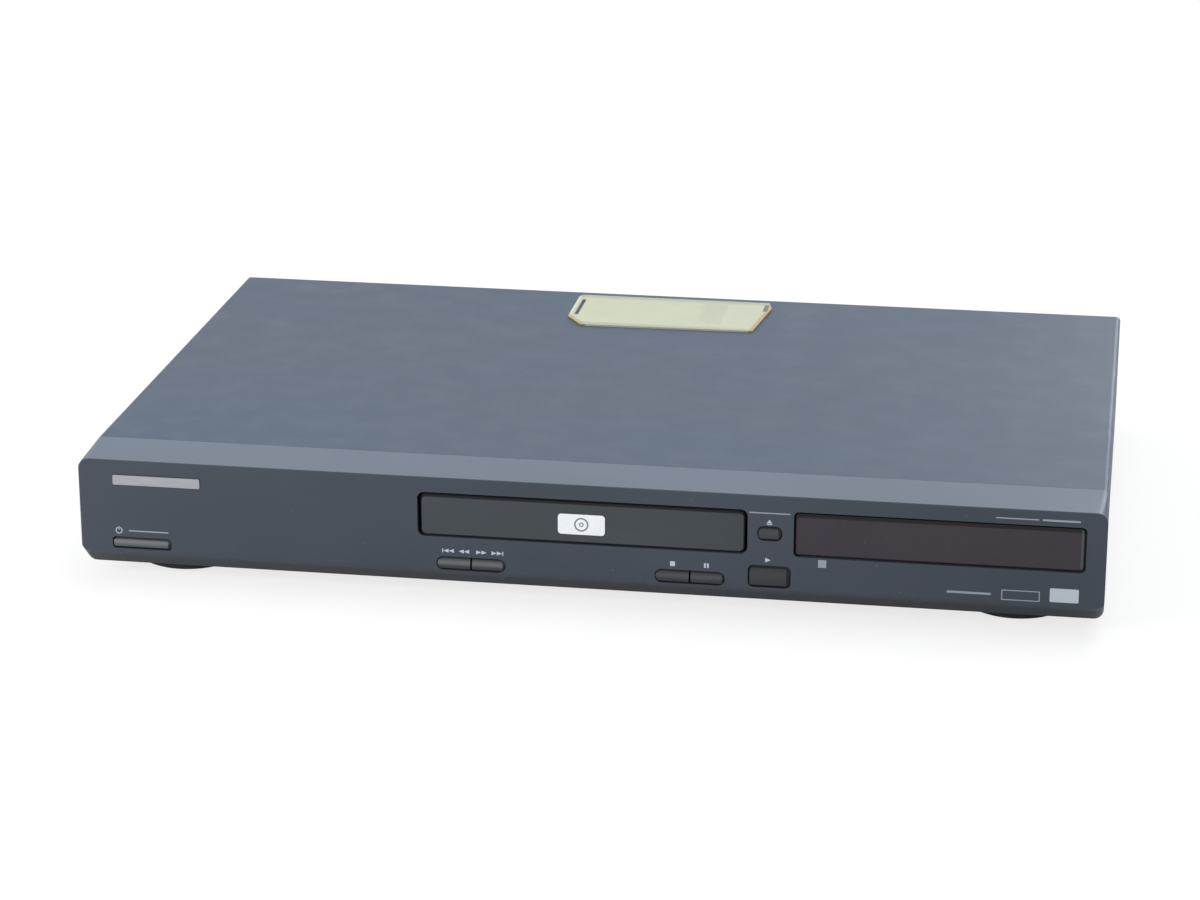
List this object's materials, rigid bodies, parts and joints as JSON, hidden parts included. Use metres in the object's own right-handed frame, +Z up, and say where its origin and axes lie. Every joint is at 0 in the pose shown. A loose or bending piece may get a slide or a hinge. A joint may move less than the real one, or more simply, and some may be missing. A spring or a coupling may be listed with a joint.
{
  "type": "disc player with tray",
  "caption": "Slim table-top disc player: painted steel cover, moulded front with a motor-driven disc tray, smoked display window and push buttons.",
  "frame": {"origin": "centre of the footprint on the plane that the feet stand on", "axes": "+X to the viewer's right across the front, +Y from the front panel to the rear, +Z up"},
  "size_m": [0.42, 0.278, 0.055],
  "materials": {
    "cover_paint": "satin",
    "plated_steel": "satin",
    "panel_plastic": "satin",
    "door_plastic": "satin",
    "smoked_window": "gloss",
    "satin_silver": "satin",
    "label_film": "matte",
    "black_rubber": "matte",
    "black_plastic": "matte",
    "white_plastic": "satin",
    "green_board": "satin",
    "tan_board": "satin",
    "tube_glass": "gloss",
    "ferrite": "matte",
    "can_film": "gloss",
    "aluminium_fins": "satin",
    "nickel_barrel": "gloss",
    "socket_plastic": "satin",
    "belt_rubber": "matte",
    "turned_brass": "satin",
    "cast_alloy": "matte",
    "lens_glass": "gloss"
  },
  "bodies": {
    "chassis": {"top_cover": "cover_paint", "chassis_pan": "plated_steel", "rear_panel": "plated_steel", "front_fascia": "panel_plastic", "display_window": "smoked_window", "nameplate": "satin_silver", "top_label": "label_film", "front_feet": "black_rubber", "rear_feet": "black_rubber", "foot_screws": "plated_steel", "cover_screws": "plated_steel", "rear_screws": "plated_steel", "loader_screws": "plated_steel", "board_screws": "plated_steel", "front_board": "tan_board", "standby_board": "tan_board", "tact_switches": "black_plastic", "display_tube": "tube_glass", "main_board": "green_board", "main_chips": "black_plastic", "power_board": "tan_board", "transformer": "ferrite", "capacitors": "can_film", "heat_sinks": "aluminium_fins", "mains_inlet": "black_plastic", "phono_barrels": "nickel_barrel", "phono_housings": "socket_plastic", "s_video_socket": "black_plastic", "optical_socket": "black_plastic", "flat_cables": "white_plastic", "loader_frame": "black_plastic", "clamp_bridge": "plated_steel", "loading_motor": "plated_steel", "drive_belt": "belt_rubber"},
    "tray": {"disc_tray": "black_plastic", "tray_door": "door_plastic", "door_badge": "white_plastic"},
    "drive_gear": {"drive_gear": "white_plastic"},
    "pulley_gear": {"pulley_gear": "white_plastic"},
    "motor_pulley": {"motor_pulley": "turned_brass"},
    "traverse": {"traverse_frame": "black_plastic", "spindle_motor": "plated_steel", "guide_rods": "plated_steel", "feed_motor": "plated_steel"},
    "cam_slide": {"cam_slide": "white_plastic"},
    "turntable": {"turntable": "black_plastic"},
    "pickup": {"pickup": "cast_alloy"},
    "lens": {"objective_lens": "lens_glass"},
    "feed_gear": {"feed_gear": "white_plastic"},
    "feed_pinion": {"feed_pinion": "turned_brass"},
    "clamper": {"clamper": "black_plastic"},
    "standby_button": {"standby_button": "panel_plastic"},
    "previous_button": {"previous_button": "panel_plastic"},
    "next_button": {"next_button": "panel_plastic"},
    "stop_button": {"stop_button": "panel_plastic"},
    "pause_button": {"pause_button": "panel_plastic"},
    "open_button": {"open_button": "panel_plastic"},
    "play_button": {"play_button": "panel_plastic"}
  },
  "joints": [
    {"name": "tray_slide", "type": "slide", "parent": "chassis", "child": "tray", "axis": [0, -1, 0], "range_m": [0, 0.142]},
    {"name": "drive_gear_spin", "type": "hinge", "parent": "chassis", "child": "drive_gear", "pos_m": [-0.046, -0.1102, 0.033], "axis": [0, 0, 1], "range_deg": [-2, 1020]},
    {"name": "pulley_gear_spin", "type": "hinge", "parent": "chassis", "child": "pulley_gear", "pos_m": [-0.0268, -0.1102, 0.033], "axis": [0, 0, 1], "range_deg": [-3057, 5]},
    {"name": "motor_pulley_spin", "type": "hinge", "parent": "chassis", "child": "motor_pulley", "pos_m": [0.014, -0.1102, 0.033], "axis": [0, 0, 1], "range_deg": [-12225, 20]},
    {"name": "traverse_tilt", "type": "hinge", "parent": "chassis", "child": "traverse", "pos_m": [0, 0.0303, 0.027], "axis": [1, 0, 0], "range_deg": [0, 3.31]},
    {"name": "cam_slide_move", "type": "slide", "parent": "chassis", "child": "cam_slide", "axis": [1, 0, 0], "range_m": [-0.0005, 0.0245]},
    {"name": "turntable_spin", "type": "hinge", "parent": "traverse", "child": "turntable", "pos_m": [0, -0.0667, 0.033], "axis": [0, 0, 1], "continuous": true},
    {"name": "clamper_spin", "type": "hinge", "parent": "chassis", "child": "clamper", "pos_m": [0, -0.0667, 0.043], "axis": [0, 0, 1], "continuous": true},
    {"name": "pickup_slide", "type": "slide", "parent": "traverse", "child": "pickup", "axis": [0, 1, 0], "range_m": [0, 0.034]},
    {"name": "lens_focus", "type": "slide", "parent": "pickup", "child": "lens", "axis": [0, 0, 1], "range_m": [-0.0004, 0.0004], "stiffness_N_per_m": 60},
    {"name": "feed_gear_spin", "type": "hinge", "parent": "traverse", "child": "feed_gear", "pos_m": [0.0242, -0.0447, 0.023], "axis": [0, 0, 1], "range_deg": [-467, 3]},
    {"name": "feed_pinion_spin", "type": "hinge", "parent": "traverse", "child": "feed_pinion", "pos_m": [0.0307, -0.03344, 0.023], "axis": [0, 0, 1], "range_deg": [-10, 1557]},
    {"name": "standby_press", "type": "slide", "parent": "chassis", "child": "standby_button", "axis": [0, 1, 0], "range_m": [0, 0.0006], "stiffness_N_per_m": 400},
    {"name": "previous_press", "type": "slide", "parent": "chassis", "child": "previous_button", "axis": [0, 1, 0], "range_m": [0, 0.0006], "stiffness_N_per_m": 400},
    {"name": "next_press", "type": "slide", "parent": "chassis", "child": "next_button", "axis": [0, 1, 0], "range_m": [0, 0.0006], "stiffness_N_per_m": 400},
    {"name": "stop_press", "type": "slide", "parent": "chassis", "child": "stop_button", "axis": [0, 1, 0], "range_m": [0, 0.0006], "stiffness_N_per_m": 400},
    {"name": "pause_press", "type": "slide", "parent": "chassis", "child": "pause_button", "axis": [0, 1, 0], "range_m": [0, 0.0006], "stiffness_N_per_m": 400},
    {"name": "open_press", "type": "slide", "parent": "chassis", "child": "open_button", "axis": [0, 1, 0], "range_m": [0, 0.0006], "stiffness_N_per_m": 400},
    {"name": "play_press", "type": "slide", "parent": "chassis", "child": "play_button", "axis": [0, 1, 0], "range_m": [0, 0.0006], "stiffness_N_per_m": 400}
  ],
  "couplings": [
    {"joint": "drive_gear_spin", "follows": "tray_slide", "rad_per_m": 125},
    {"joint": "pulley_gear_spin", "follows": "tray_slide", "rad_per_m": -375},
    {"joint": "motor_pulley_spin", "follows": "tray_slide", "rad_per_m": -1500},
    {"joint": "cam_slide_move", "follows": "traverse_tilt", "m_per_rad": 0.41544},
    {"joint": "clamper_spin", "follows": "turntable_spin", "ratio": 1},
    {"joint": "feed_gear_spin", "follows": "pickup_slide", "rad_per_m": -238.1},
    {"joint": "feed_pinion_spin", "follows": "pickup_slide", "rad_per_m": 793.65}
  ]
}
